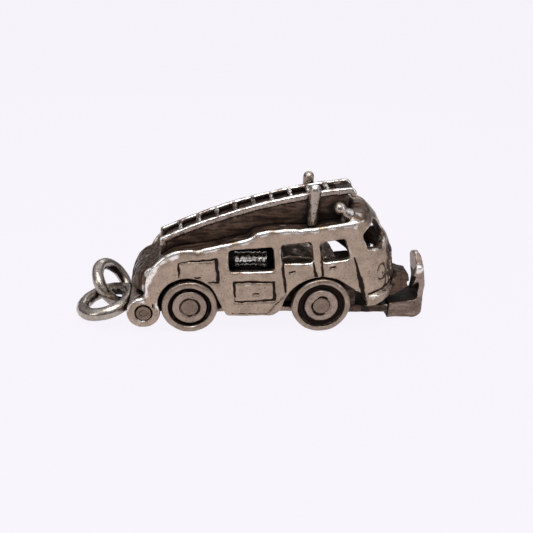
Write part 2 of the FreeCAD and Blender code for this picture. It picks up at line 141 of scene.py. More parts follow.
# lamp places and targets are in millimetres, sizes too; radiance is what a mirror would show
lampSets = [
    dict(name="topLamp", place=(-5, -34, 92), target=(10, 0, 6), size=(90, 64), radiance=4.2),
    dict(name="backLamp", place=(25, 80, 60), target=(10, 0, 6), size=(70, 30), radiance=1.6),
    dict(name="leftLamp", place=(-80, -50, 40), target=(5, 0, 5), size=(40, 40), radiance=2.6),
    dict(name="noseLamp", place=(95, -45, 35), target=(20, 0, 5), size=(40, 40), radiance=1.6),
]


def newObject(name, data):
    obj = bpy.data.objects.new(name, data)
    bpy.context.scene.collection.objects.link(obj)
    return obj


def makeCamera():
    turn, tip, roll = (radians(cameraSet[key]) for key in ("azimuth", "elevation", "roll"))
    back = Vector((sin(turn) * cos(tip), -cos(turn) * cos(tip), sin(tip)))
    right = Vector((cos(turn), sin(turn), 0))
    up = back.cross(right)
    level = Matrix((right, up, back)).transposed()
    camera = newObject("camera", bpy.data.cameras.new("camera"))
    camera.matrix_world = (level @ Matrix.Rotation(-roll, 3, "Z")).to_4x4()
    camera.location = place(*cameraSet["place"])
    camera.data.lens = cameraSet["lens"]
    camera.data.sensor_width = cameraSet["sensor"]
    camera.data.clip_start = cameraSet["near"] * mm
    camera.data.clip_end = cameraSet["far"] * mm
    bpy.context.scene.camera = camera


def makeLamps():
    for lamp in lampSets:
        data = bpy.data.lights.new(lamp["name"], "AREA")
        data.shape = "RECTANGLE"
        data.size, data.size_y = (side * mm for side in lamp["size"])
        data.energy = lamp["radiance"] * pi * data.size * data.size_y
        obj = newObject(lamp["name"], data)
        obj.location = place(*lamp["place"])
        aim = place(*lamp["target"]) - obj.location
        obj.rotation_euler = aim.to_track_quat("-Z", "Y").to_euler()


def rays(bench):
    # rays that should see the plain pale ground, and rays that mirror the room
    ray = bench.node("ShaderNodeLightPath")
    outputs = ray.socket.node.outputs
    kinds = ("Camera", "Glossy", "Transmission")
    camera, glossy, glass = (Wire(bench, outputs[f"Is {kind} Ray"]) for kind in kinds)
    return camera.larger(glass), glossy


def makeWorld():
    world = bpy.data.worlds.new("softRoom")
    bpy.context.scene.world = world
    world.use_nodes = True
    world.node_tree.nodes.clear()
    bench = Bench(world.node_tree)
    seen, mirrored = rays(bench)
    direction = bench.node("ShaderNodeTexCoord", None, "Generated")
    height = bench.node("ShaderNodeSeparateXYZ", {"Vector": direction}, "Z")

    def glow(colour, strength):
        return bench.node("ShaderNodeBackground", {"Color": colour, "Strength": strength})

    pale = glow(paleColour, 1.0)
    strengths = (stageSet[key] for key in ("horizon", "zenith", "sky"))
    horizon, zenith, sky = (glow(stageSet["skyColour"], strength) for strength in strengths)
    rise = bench.ramp(height, 0.0, stageSet["zenithFrom"])
    room = bench.node("ShaderNodeMixShader", {0: rise, 1: horizon, 2: zenith})
    lit = bench.node("ShaderNodeMixShader", {0: mirrored, 1: sky, 2: room})
    both = bench.node("ShaderNodeMixShader", {0: seen, 1: lit, 2: pale})
    bench.node("ShaderNodeOutputWorld", {"Surface": both})


def makeFloor():
    half = stageSet["floorHalf"]
    mesh = bpy.data.meshes.new("floor")
    corners = [(-half, -half, 0), (half, -half, 0), (half, half, 0), (-half, half, 0)]
    mesh.from_pydata(corners, [], [(0, 1, 2, 3)])
    floor = newObject("floor", mesh)
    material, bench = newMaterial("paleFloor")
    seen, mirrored = rays(bench)
    glowing = (seen * stageSet["glowSeen"]).larger(mirrored * stageSet["glowMirrored"])
    matt = bench.node("ShaderNodeBsdfDiffuse", {"Color": stageSet["floorAlbedo"]})
    glow = bench.node("ShaderNodeEmission", {"Color": paleColour, "Strength": 1.0})
    both = bench.node("ShaderNodeMixShader", {0: glowing, 1: matt, 2: glow})
    bench.node("ShaderNodeOutputMaterial", {"Surface": both})
    mesh.materials.append(material)


# panel: worn flat silver; edge: rubbed bright silver, which is also the colour of painted highlights
# dark: how enclosed a spot is where the oxide starts and where it is full; wear: the same for rubbed silver and
# for painted highlights
silverSets = dict(
    silver_shell=dict(
        panel=(0.408, 0.312, 0.24), edge=(0.84, 0.79, 0.74), dark=(0.42, 0.78), wear=(0.22, 0.7), rough=0.36),
    silver_dark=dict(
        panel=(0.3, 0.215, 0.165), edge=(0.62, 0.5, 0.42), dark=(0.3, 0.72), wear=(0.35, 1.0), rough=0.42),
    silver_bright=dict(
        panel=(0.38, 0.31, 0.265), edge=(0.90, 0.87, 0.83), dark=(0.4, 0.76), wear=(0.22, 0.75), rough=0.28),
    silver_base=dict(
        panel=(0.36, 0.275, 0.225), edge=(0.78, 0.72, 0.67), dark=(0.35, 0.72), wear=(0.3, 0.9), rough=0.44),
    silver_rivet=dict(
        panel=(0.26, 0.19, 0.145), edge=(0.55, 0.48, 0.43), dark=(0.45, 0.85), wear=(0.5, 1.1), rough=0.46),
    silver_wire=dict(
        panel=(0.43, 0.37, 0.32), edge=(0.90, 0.86, 0.81), dark=(0.42, 0.85), wear=(0.1, 0.9), rough=0.22),
    silver_wheel=dict(
        panel=(0.36, 0.275, 0.22), edge=(0.66, 0.60, 0.55), dark=(0.42, 0.72), wear=(0.25, 0.9), rough=0.4),
)
# tarnish colours; oxide is also the colour of painted shade
tarnishAndShade = dict(brown=(0.105, 0.064, 0.043, 1), deep=(0.022, 0.011, 0.007, 1), oxide=(0.016, 0.008, 0.006, 1))
# scale per millimetre and detail of each noise
noiseRoughness = 0.55
noiseSet = dict(mottle=(1.1, 3.0), grain=(6.0, 4.0), pits=(10.0, 1.0))
streakSet = dict(lengthwise=((0.9, 4.0, 3.6), 5.0), upright=((4.5, 4.5, 0.55), 3.0))
# where each cover starts and where it is full
coverSet = dict(line=(0.42, 0.64), speck=(0.64, 0.70), tint=(0.36, 0.60), tannedAndShaded=(0.25, 0.75),
                brown=(0.36, 0.60))
# how strongly one pattern breaks up another
mixSet = dict(lineGrain=0.5, speck=0.75, closedMottle=0.3, closedGrain=0.25, wearGrain=0.7, wearMottle=0.35,
              dull=0.72, tintMottle=0.6, tintGrain=0.4, tanStreaks=0.9, tanGrain=0.3, tanWear=0.35)
metalSet = dict(dark=0.2, tannedAndShaded=0.3)
roughSet = dict(grain=0.16, wear=0.10, dark=0.62)
heightSet = dict(grain=0.5, pits=0.3, mottle=0.8, streaks=1.2, line=0.5, speck=0.6)
bumpSet = dict(Strength=0.32, Distance=0.06 * mm)


def makeSilver(name):
    look = silverSets[name]
    material, bench = newMaterial(name)
    coordinates = bench.node("ShaderNodeTexCoord", None, "Object")
    where = bench.node("ShaderNodeMapping", {"Vector": coordinates, "Scale": (1 / mm, 1 / mm, 1 / mm)})
    mottle, grain, pits = (bench.noise(where, *noiseSet[key]) for key in ("mottle", "grain", "pits"))
    lengthwise, upright = (bench.stretched(where, *streakSet[key]) for key in ("lengthwise", "upright"))
    recess, wear, ink = (bench.attribute(key) for key in ("recess", "wear", "ink"))
    stain, tall = (bench.attribute(key) for key in ("stain", "tall"))
    unevenGrain, unevenMottle = grain - 0.5, mottle - 0.5
    streaks = lengthwise + (upright - lengthwise) * tall
    # engraved lines, and the painted shade carried with them, go oxide black
    line = bench.ramp(ink + unevenGrain * mixSet["lineGrain"], *coverSet["line"])
    speck = bench.ramp(pits, *coverSet["speck"]) * mixSet["speck"]
    closed = recess + unevenMottle * mixSet["closedMottle"] + unevenGrain * mixSet["closedGrain"]
    closed = bench.ramp(closed, *look["dark"])
    dark = closed.larger(line).larger(speck)
    # rubbed silver and painted highlights both turn towards the edge colour
    rubbedAndLit = wear + unevenGrain * mixSet["wearGrain"] + unevenMottle * mixSet["wearMottle"]
    rubbedAndLit = bench.ramp(rubbedAndLit, *look["wear"])
    panel, edge = (look[key] + (1,) for key in ("panel", "edge"))
    dull = tuple(mixSet["dull"] * c for c in look["panel"]) + (1,)
    tint = bench.ramp(mottle * mixSet["tintMottle"] + grain * mixSet["tintGrain"], *coverSet["tint"])
    tint = bench.blend(tint, dull, panel)
    # brown stain, which is partly painted shade on the deck and low on the seats
    tannedAndShaded = stain + (streaks - 0.5) * mixSet["tanStreaks"] + unevenGrain * mixSet["tanGrain"]
    tannedAndShaded = bench.ramp(tannedAndShaded - rubbedAndLit * mixSet["tanWear"], *coverSet["tannedAndShaded"])
    brown = bench.blend(bench.ramp(streaks, *coverSet["brown"]), tarnishAndShade["deep"], tarnishAndShade["brown"])
    colour = bench.blend(tannedAndShaded, bench.blend(rubbedAndLit, tint, edge), brown)
    colour = bench.blend(dark, colour, tarnishAndShade["oxide"])
    rough = look["rough"] + unevenGrain * roughSet["grain"] - rubbedAndLit * roughSet["wear"]
    rough = rough * (1 - dark) + dark * roughSet["dark"]
    height = grain * heightSet["grain"] + pits * heightSet["pits"] + mottle * heightSet["mottle"]
    height = height + streaks * tannedAndShaded * heightSet["streaks"]
    height = height - line * heightSet["line"] - speck * heightSet["speck"]
    bump = bench.node("ShaderNodeBump", {"Height": height, **bumpSet})
    metallic = (1 - dark * metalSet["dark"]) * (1 - tannedAndShaded * metalSet["tannedAndShaded"])
    inputs = {"Base Color": colour, "Metallic": metallic, "Roughness": rough, "Normal": bump}
    shader = bench.node("ShaderNodeBsdfPrincipled", inputs)
    bench.node("ShaderNodeOutputMaterial", {"Surface": shader})
    return material


class Surface:
    # vertex arrays of a mesh in working millimetres
    def __init__(self, mesh):
        self.mesh = mesh
        self.co = np.empty(len(mesh.vertices) * 3)
        mesh.vertices.foreach_get("co", self.co)
        self.co = self.co.reshape(-1, 3)
        edges = np.empty(len(mesh.edges) * 2, np.int32)
        mesh.edges.foreach_get("vertices", edges)
        self.first, self.second = edges.reshape(-1, 2).T
        self.degree = np.maximum(np.bincount(edges, minlength=len(self.co)), 1)

    def spread(self, values):
        size = len(self.co)
        total = np.bincount(self.first, values[self.second], size)
        total = total + np.bincount(self.second, values[self.first], size)
        return total / self.degree

    def spreadPlaces(self, places, rounds):
        for _ in range(rounds):
            places = np.stack([self.spread(places[:, axis]) for axis in range(3)], 1)
        return places

    def relax(self, rounds, step, push):
        for _ in range(rounds):
            for part in (step, push):
                self.co += part * (self.spreadPlaces(self.co, 1) - self.co)
        self.store()

    def store(self):
        self.mesh.vertices.foreach_set("co", self.co.ravel())
        self.mesh.update()

    def normals(self):
        found = np.empty(len(self.co) * 3)
        self.mesh.vertex_normals.foreach_get("vector", found)
        return found.reshape(-1, 3)

    def shift(self, amount):
        self.co += self.normals() * amount[:, None]
        self.store()

    def keep(self, name, values):
        layer = self.mesh.attributes.new(name, "FLOAT", "POINT")
        layer.data.foreach_set("value", np.clip(values, 0, 1).astype(np.float32))


def waves(co, period, count, seed):
    # smooth random swell, about -1 to 1, of several sines with about one period
    random = np.random.default_rng(seed)
    total = np.zeros(len(co))
    for _ in range(count):
        direction = random.normal(size=3)
        direction *= 2 * pi / period / np.linalg.norm(direction) * random.uniform(0.7, 1.4)
        total += np.sin(co @ direction + random.uniform(0, 2 * pi))
    return total / np.sqrt(count)


def evaluated(obj):
    made = bpy.data.meshes.new_from_object(obj.evaluated_get(bpy.context.evaluated_depsgraph_get()))
    bpy.data.objects.remove(obj)
    return made


def voxelSkin(mesh, voxel):
    # one closed skin round everything in the mesh
    obj = newObject("holder", mesh)
    skin = obj.modifiers.new("skin", "REMESH")
    skin.mode = "VOXEL"
    skin.voxel_size = voxel
    return evaluated(obj)


def thin(mesh, limit):
    triangles = sum(len(p.vertices) - 2 for p in mesh.polygons)
    if triangles <= limit:
        return mesh
    obj = newObject("holder", mesh)
    fewer = obj.modifiers.new("fewer", "DECIMATE")
    fewer.ratio = limit / triangles
    return evaluated(obj)


def finished(work, name):
    # turns a bmesh into a mesh and frees it
    mesh = bpy.data.meshes.new(name)
    work.to_mesh(mesh)
    work.free()
    return mesh


def addBox(work, place, size):
    bmesh.ops.create_cube(work, size=1, matrix=Matrix.Translation(place) @ Matrix.Diagonal((*size, 1)))


weldReach = 0.001


def fromNode(name):
    # welded copy of a CAD node in working millimetres
    work = bmesh.new()
    work.from_mesh(frame["nodes"][name].data)
    bmesh.ops.remove_doubles(work, verts=work.verts, dist=weldReach * mm)
    bmesh.ops.translate(work, verts=work.verts, vec=-origin)
    bmesh.ops.scale(work, verts=work.verts, vec=(1 / mm, 1 / mm, 1 / mm))
    return finished(work, name)


def fade(values, start, run):
    # 0 at start, 1 at start + run and past it; run may be negative
    return np.clip((values - start) / run, 0, 1)


def bell(values, middle, width):
    return np.exp(-((values - middle) / width)**2)


def within(surface, x=(-far, far), side=(-far, far), z=(-far, far)):
    # side is the distance from the middle plane
    inside = np.ones(len(surface.co), bool)
    coordinates = (surface.co[:, 0], np.abs(surface.co[:, 1]), surface.co[:, 2])
    for values, (low, high) in zip(coordinates, (x, side, z)):
        inside &= (values > low) & (values < high)
    return inside


def spot(surface, centre, radius):
    return fade(np.linalg.norm(surface.co - np.array(centre), axis=1), *radius)


def blotches(surface, base, depth, period, seed, count=7, stretch=(1, 1, 1)):
    # uneven cover round a mean, between 0 and 1
    return np.clip(base + depth * waves(surface.co * np.array(stretch), period, count, seed), 0, 1)


def offRun(points, start, end):
    # how far along the run each 2-D point lies, 0 to 1, and how far off it
    start, along = np.array(start), np.subtract(end, start)
    share = np.clip((points - start) @ along / (along @ along), 0, 1)
    return share, np.linalg.norm(points - start - share[:, None] * along, axis=1)


# rows are runs of (x, z, half width) cut into both sides of the body
doorLines = [
    [(10.84, 6.03, 0.05), (10.95, 5.1, 0.08), (11.24, 3.57, 0.06)],
    [(13.29, 6.13, 0.04), (13.42, 5.5, 0.075), (13.58, 4.97, 0.085)],
    [(13.89, 6.28, 0.06), (14.16, 4.97, 0.07)],
    [(16.48, 6.57, 0.05), (16.9, 5.4, 0.08), (17.30, 4.2, 0.15), (17.91, 2.29, 0.05)],
]
lockerLines = [
    [(2.77, 4.85, 0.03), (2.77, 5.5, 0.07), (2.77, 6.02, 0.03), (4.2, 6.22, 0.05), (5.64, 6.34, 0.09),
     (5.76, 5.2, 0.09), (5.80, 4.30, 0.07), (5.10, 4.38, 0.04)],
    [(7.22, 2.62, 0.03), (7.14, 3.6, 0.07), (7.10, 4.38, 0.08), (10.22, 4.42, 0.06), (10.36, 2.83, 0.08),
     (8.4, 2.68, 0.05), (7.22, 2.62, 0.06)],
]
# catches, handles, the mark by the rivet and the creases of the lower side
smallLines = [
    [(4.0, 4.78, 0.04), (4.38, 4.80, 0.05)], [(8.62, 3.36, 0.05), (9.05, 3.40, 0.05)],
    [(11.45, 5.33, 0.05), (11.85, 5.36, 0.04)], [(14.62, 5.70, 0.05), (15.02, 5.74, 0.06)],
    [(0.76, 2.15, 0.05), (0.76, 2.45, 0.04)], [(9.9, 1.62, 0.02), (10.75, 2.75, 0.03), (11.2, 3.35, 0.02)],
    [(7.0, 1.62, 0.02), (9.9, 1.55, 0.025)], [(12.5, 4.62, 0.012), (13.5, 5.0, 0.02)],
]
# flanks lie beyond side, and turn away from sideways by no more than lean allows
engraving = dict(depth=0.13, side=2.5, lean=0.45, soft=1.35, shake=0.035, shakePeriod=0.5)


def nearness(points, lines):
    # 1 on the middle of a line, falling to 0 away from it, with the width following the line
    best = np.full(len(points), far)
    for line in lines:
        for (*start, width), (*end, nextWidth) in zip(line, line[1:]):
            share, off = offRun(points, start, end)
            best = np.minimum(best, off / (width + share * (nextWidth - width)))
    return np.exp(-0.5 * (best / engraving["soft"])**2)


def facing(surface):
    across = surface.normals()[:, 1]
    outside = (np.abs(across) > engraving["lean"]) & (np.abs(surface.co[:, 1]) > engraving["side"])
    return outside & (across * surface.co[:, 1] > 0)


lampOutline = dict(centre=(18.98, 2.61, 5.2), outwards=(0.541, 0.841), size=(0.42, 0.65), width=0.038,
                   reach=0.5, strength=0.80, uneven=0.25, waves=(0.9, 5, 8))


def lampRing(surface):
    x, y, z = surface.co.T
    (lampX, lampY, lampZ), (outX, outY) = lampOutline["centre"], lampOutline["outwards"]
    wide, tall = lampOutline["size"]
    across = outY * (x - lampX) - outX * (np.abs(y) - lampY)
    depth = outX * (x - lampX) + outY * (np.abs(y) - lampY)
    off = np.sqrt((across / wide)**2 + ((z - lampZ) / tall)**2)
    ring = np.exp(-0.5 * ((off - 1) * wide / lampOutline["width"])**2)
    ring = ring * (np.abs(depth) < lampOutline["reach"])
    return ring * (lampOutline["strength"] + lampOutline["uneven"] * waves(surface.co, *lampOutline["waves"]))


# the line above the bumper: x and z where it starts, rise, half width
# a painted highlight (shine) lies on the face below it, between two heights, and fades towards the nose down to
# dim
bumper = dict(x=18.0, z=3.34, rise=0.233, width=0.055, shake=0.05, waves=(1.4, 5, 13), centre=16,
              outwards=0.5, overlap=0.05, shine=0.32, face=(-0.6, -0.1), shineFade=(19.6, -1.2), dim=0.1)


def aboveBumper(surface):
    x, _, z = surface.co.T
    line = z - bumper["z"] - bumper["rise"] * (x - bumper["x"])
    return line + bumper["shake"] * waves(surface.co, *bumper["waves"])


def outerNose(surface):
    x, y, _ = surface.co.T
    normals = surface.normals()
    outwards = normals[:, 0] * (x - bumper["centre"]) + normals[:, 1] * y
    return (x > bumper["x"] - bumper["overlap"]) & (outwards > bumper["outwards"])


# edge is the half width at each height; the rods are ridges across it
grille = dict(z=(3.4, 4.4, 5.2, 5.9, 7.4), edge=(2.75, 2.6, 2.42, 2.4, 2.0), edgeFade=0.35, shake=0.12,
              waves=(1.1, 7, 11), bottom=(3.5, 0.3), top=(7.7, -0.8), rear=18.6, lean=0.3, depth=0.10,
              rods=(13, 29), bend=(1.2, 2.1), fineRods=0.6, clean=1.2)
grilleInk = dict(base=0.30, depth=0.35, period=0.5, seed=21, stretch=(1, 1, 0.12))


def grilleShare(surface):
    x, y, z = surface.co.T
    inside = (x > grille["rear"]) & (surface.normals()[:, 0] > grille["lean"])
    edge = np.interp(z, grille["z"], grille["edge"]) + grille["shake"] * waves(surface.co, *grille["waves"])
    across = fade(edge - np.abs(y), 0, grille["edgeFade"])
    upwards = fade(z, *grille["bottom"]) * fade(z, *grille["top"])
    return inside * across * upwards


def rodShape(surface):
    _, y, z = surface.co.T
    (broad, fine), (bend, bendPeriod) = grille["rods"], grille["bend"]
    rod = np.sin(y * broad + bend * np.sin(z * bendPeriod)) + grille["fineRods"] * np.sin(y * fine + z)
    return 0.5 + 0.5 * rod


# the rim from the rear edge to the cab, as x and z; the deck follows it from the third point on
rimLine = [(0.08, 2.9), (0.12, 3.7), (0.3, 4.5), (1.1, 6.1), (3.6, 7.15), (5.0, 7.32), (8.1, 8.12),
           (8.5, 8.55), (9.7, 8.87), (13.1, 9.05), (15.9, 9.6)]
# bright, turn and shine: a painted highlight band along the rim, on faces turned up or back
rimLook = dict(place=dict(x=(-far, 16.4), side=(2.35, far)), fade=-0.3, soft=0.6, bright=0.5, turn=0.72,
           shine=0.72)
# nicks in the rim: x, z, size, depth
rimNicks = [(4.22, 7.1, 0.35, 0.17), (3.3, 6.95, 0.4, 0.05), (8.3, 8.45, 0.3, 0.07), (10.2, 8.95, 0.35, 0.05),
            (12.0, 8.95, 0.25, 0.05), (14.1, 9.3, 0.12, 0.10), (6.6, 7.7, 0.4, 0.04)]
nickSide = -2.95
deckLook = dict(x=(1.3, 15.9), below=0.62, above=0.2, side=(2.72, -0.12), ripple=0.05,
                stretch=(0.15, 1, 1), waves=(0.7, 9, 5))


def rimShare(surface, below):
    runs = zip(rimLine, rimLine[1:])
    off = np.min([offRun(surface.co[:, [0, 2]], *run)[1] for run in runs], axis=0)
    return within(surface, **rimLook["place"]) * fade(off, below, rimLook["fade"])


def deckShare(surface):
    x, y, z = surface.co.T
    top = np.interp(x, *zip(*rimLine[2:]))
    sunk = within(surface, x=deckLook["x"]) & (z > top - deckLook["below"]) & (z < top + deckLook["above"])
    return sunk * fade(np.abs(y), *deckLook["side"])


rearLook = dict(x=(1.5, -0.4), side=(2.72, -0.15), z=(2.4, 0.3))
rearInk = dict(base=0.15, depth=0.4, period=0.6, seed=22, stretch=(1, 1, 0.25))


def rearPanel(surface):
    x, y, z = surface.co.T
    return fade(x, *rearLook["x"]) * fade(np.abs(y), *rearLook["side"]) * fade(z, *rearLook["z"])


def shellInk(surface):
    shaken = [waves(surface.co, engraving["shakePeriod"], 5, seed) for seed in (3, 4)]
    flat = surface.co[:, [0, 2]] + engraving["shake"] * np.stack(shaken, 1)
    cuts = np.where(facing(surface), nearness(flat, doorLines + lockerLines + smallLines), 0.0)
    over = np.exp(-0.5 * (aboveBumper(surface) / bumper["width"] / engraving["soft"])**2)
    rods = np.clip(2 * grilleShare(surface) - 1, 0, 1) * blotches(surface, **grilleInk)
    grime = rearPanel(surface) * blotches(surface, **rearInk)
    return np.max([cuts, lampRing(surface), over * outerNose(surface), rods, grime], axis=0)


# stained spots of the roof, the inside of the cab, and how strongly each place is stained; the deck's dark brown
# is partly painted shade of its trough
roofSpots = dict(bowl=dict(centre=(16.75, -1.1, 10.2), radius=(1.25, -0.3125)),
                 shoulder=dict(centre=(16.75, -2.25, 9.85), radius=(0.9, -0.45)))
cabInside = dict(x=(12.5, 19.6), side=(-far, 2.55), z=(-far, 9.4))
shellStainsAndShade = dict(shoulder=0.65, deck=0.9, panel=0.85, bowl=0.95, grille=0.95, cab=0.8)


def shellStainAndShade(surface):
    found = {key: spot(surface, **place) for key, place in roofSpots.items()}
    found["deck"] = deckShare(surface)
    found["panel"] = rearPanel(surface)
    found["grille"] = grilleShare(surface)
    found["cab"] = within(surface, **cabInside) & (surface.normals()[:, 0] < 0.5)
    stain = np.max([share * found[key] for key, share in shellStainsAndShade.items()], axis=0)
    return stain, np.maximum(found["panel"], found["grille"] > 0)


# besides the rim: sills, foot of the front, rear edge and roof, and how far each is rounded
softPlaces = [(1.0, dict(x=(6.2, 11.8), z=(-far, 2.0))), (0.5, dict(x=(17.2, far), z=(-far, 3.0))),
              (1.0, dict(x=(-far, 1.6), side=(-far, 2.5), z=(2.6, far))),
              (1.7, dict(x=(15.6, 17.9), z=(9.6, far)))]


def shellSoft(surface):
    places = [share * within(surface, **place) for share, place in softPlaces]
    return np.max([rimShare(surface, rimLook["soft"])] + places, axis=0)


# a painted highlight on the front edge of the roof: x at height level, lean, middle height, widths
roofHighlight = dict(x=16.35, level=9.2, lean=0.3, middle=9.35, width=0.3, height=0.45, side=2.4, shine=0.6)


# painted highlights along the rim, on the front edge of the roof and on the bumper's face, with less wear in the
# grille
def shellHighlights(surface):
    x, y, z = surface.co.T
    normals = surface.normals()
    turned = np.clip(np.maximum(normals[:, 2], -normals[:, 0]) + rimLook["turn"], 0, 1)
    along = rimShare(surface, rimLook["bright"]) * turned * rimLook["shine"]
    edge = roofHighlight["x"] - roofHighlight["lean"] * (z - roofHighlight["level"])
    corner = bell(x, edge, roofHighlight["width"]) * bell(z, roofHighlight["middle"], roofHighlight["height"])
    corner = roofHighlight["shine"] * corner * (np.abs(y) > roofHighlight["side"])
    (low, high), level = bumper["face"], aboveBumper(surface)
    face = bumper["shine"] * outerNose(surface) * (level < high) * (level > low)
    face = face * np.maximum(fade(x, *bumper["shineFade"]), bumper["dim"])
    return np.max([along, corner, face], axis=0) - grille["clean"] * grilleShare(surface)


# how the foot of the front slants up: by rise at most, growing forwards and downwards
noseLift = dict(rise=0.55, x=(18.0, 2.3), z=(4.6, -2.4))


def liftNose(surface):
    x, _, z = surface.co.T
    surface.co[:, 2] += noseLift["rise"] * fade(x, *noseLift["x"]) * fade(z, *noseLift["z"])
    surface.store()


def carveShell(surface):
    liftNose(surface)
    cut = engraving["depth"] * shellInk(surface)
    for nickX, nickZ, size, depth in rimNicks:
        off = np.linalg.norm(surface.co - np.array((nickX, nickSide, nickZ)), axis=1)
        cut = cut + depth * bell(off, 0, size)
    cut = cut + grilleShare(surface) * grille["depth"] * rodShape(surface)
    ripple = waves(surface.co * np.array(deckLook["stretch"]), *deckLook["waves"])
    cut = cut + deckShare(surface) * deckLook["ripple"] * ripple
    surface.shift(-cut)


# broken circles cut round the hubs: radius, first and last degree, half width
hubArcs = dict(
    front=[(0.80, 50, 115, 0.075), (0.78, 160, 215, 0.05), (0.80, 215, 300, 0.085), (0.82, 330, 350, 0.05)],
    rear=[(0.79, -70, 70, 0.06), (0.79, 60, 250, 0.028), (0.79, 250, 295, 0.05)],
)
# middle, then inner and outer edge of the blackened groove
hubPlaces = dict(front=(14.22, 2.27, 1.41, 1.90), rear=(3.62, 2.12, 1.45, 1.60))
hubLook = dict(stepDegrees=12, taper=0.25, shake=0.03, waves=(1.2, 7, 6), blur=0.06, side=2.4, depth=0.05)


def hubInk(end):
    x, z, inner, outer = hubPlaces[end]
    lines = []
    for radius, first, last, width in hubArcs[end]:
        steps = np.radians(np.linspace(first, last, max(int((last - first) / hubLook["stepDegrees"]), 2)))
        taper = np.sin(np.linspace(hubLook["taper"], pi - hubLook["taper"], len(steps)))
        lines.append([(x + radius * cos(a), z + radius * sin(a), width * t) for a, t in zip(steps, taper)])

    def ink(surface):
        radius = np.hypot(surface.co[:, 0] - x, surface.co[:, 2] - z)
        radius = radius + hubLook["shake"] * waves(surface.co, *hubLook["waves"])
        groove = np.clip((radius - inner) / hubLook["blur"] + 0.5, 0, 1)
        groove = groove * np.clip((outer - radius) / hubLook["blur"] + 0.5, 0, 1)
        circles = np.where(facing(surface), nearness(surface.co[:, [0, 2]], lines), 0.0)
        return np.maximum(circles, groove * (np.abs(surface.co[:, 1]) > hubLook["side"]))
    return ink


def carveHub(end):
    ink = hubInk(end)
    return lambda surface: surface.shift(-hubLook["depth"] * ink(surface))


pinLook = dict(radius=0.27, width=0.06, shake=0.05, waves=(0.5, 6, 2), share=0.75)


def pinInk(surface):
    radius = np.hypot(surface.co[:, 0], surface.co[:, 2] - rivetHeight)
    radius = radius + pinLook["shake"] * waves(surface.co, *pinLook["waves"])
    return pinLook["share"] * bell(radius, pinLook["radius"], pinLook["width"]) * facing(surface)


# streaks run along the sides, and upright at the rear end
bedLook = dict(stain=0.85, end=(2.0, -0.4), endStain=0.15,
               ink=dict(base=0.12, depth=0.38, period=0.8, seed=41, count=9, stretch=(0.16, 1, 1)))


def bedStain(surface):
    end = fade(surface.co[:, 0], *bedLook["end"]) * (surface.normals()[:, 0] < -0.5)
    return bedLook["stain"] + bedLook["endStain"] * end, end


def bedInk(surface):
    return blotches(surface, **bedLook["ink"])


# dull between the rails, tarnished down their sides and at their feet; the web between them is painted black, as
# shade in the opening
ladderLook = dict(between=(0.93, -0.1), betweenStain=0.72, sideStain=0.35, foot=6.75, footStain=0.9,
                  web=(0.90, -0.08), webRun=(15.05, 16.22), bars=(0.85, -0.15),
                  ink=dict(base=0.38, depth=0.3, period=0.8, seed=2))


def ladderStain(surface):
    sideways = np.abs(surface.normals()[:, 1]) * ladderLook["sideStain"]
    foot = (surface.co[:, 2] < ladderLook["foot"]) * ladderLook["footStain"]
    between = fade(np.abs(surface.co[:, 1]), *ladderLook["between"]) * ladderLook["betweenStain"]
    return np.max([between, sideways, foot], axis=0), np.zeros(len(foot))


def ladderInkAndShade(surface):
    side = np.abs(surface.co[:, 1])
    web = fade(side, *ladderLook["web"]) * within(surface, x=ladderLook["webRun"])
    return np.maximum(web, fade(side, *ladderLook["bars"]) * blotches(surface, **ladderLook["ink"]))


# the tongue in front is mottled black
baseLook = dict(stain=0.3, tongueStain=0.5, forwards=(15, 2), downwards=(4, -2), tongue=15.5,
                ink=dict(base=0.28, depth=0.4, period=0.9, seed=31))


def baseStain(surface):
    x, _, z = surface.co.T
    tongue = baseLook["tongueStain"] * fade(x, *baseLook["forwards"]) * fade(z, *baseLook["downwards"])
    return baseLook["stain"] + tongue, np.zeros(len(x))


def baseInk(surface):
    return (surface.co[:, 0] > baseLook["tongue"]) * blotches(surface, **baseLook["ink"])


# painted shade: black fills the inner side below the hook, and covers the top and the end of the block
springLook = dict(inside=dict(x=(-far, 22.6), z=(1.2, 3.6)), insideStain=0.5, low=(2.6, -0.8), lowStain=0.52,
                  innerTurn=-2.5, innerTop=(4.35, -0.4), topTurn=3, blockTop=(3.6, -0.3),
                  end=(22.75, -1.05, 1.95), endTop=(3.5, -0.2),
                  ink=dict(base=1.3, depth=0.3, period=0.7, seed=12),
                  hook=dict(centre=(22.5, -1.25, 4.85), radius=(0.56, -0.35)), hookShine=0.9)


def springStain(surface):
    inside = within(surface, **springLook["inside"]) * springLook["insideStain"]
    low = springLook["lowStain"] * fade(surface.co[:, 2], *springLook["low"])
    return np.maximum(low, inside), np.zeros(len(low))


def springShade(surface):
    x, y, z = surface.co.T
    normals = surface.normals()
    inner = np.clip(springLook["innerTurn"] * normals[:, 0], 0, 1) * fade(z, *springLook["innerTop"])
    top = np.clip(springLook["topTurn"] * normals[:, 2] - 1, 0, 1) * fade(z, *springLook["blockTop"])
    front, side, low = springLook["end"]
    end = (x < front) * (y > side) * (z > low) * fade(z, *springLook["endTop"])
    return np.max([inner, top, end], axis=0) * blotches(surface, **springLook["ink"])


# painted highlight on the ball of the hook
def hookHighlight(surface):
    return springLook["hookShine"] * spot(surface, **springLook["hook"])


# a painted highlight along a ledge across the lug, which is mottled black
lugLook = dict(ledge=3.5, width=0.2, shineWidth=0.16, shine=1.5, side=-0.6, front=20.6,
               ink=dict(base=0.42, depth=0.3, period=0.8, seed=3))


def lugInk(surface):
    ledge = bell(surface.co[:, 2], lugLook["ledge"], lugLook["width"])
    return blotches(surface, **lugLook["ink"]) * (1 - ledge)


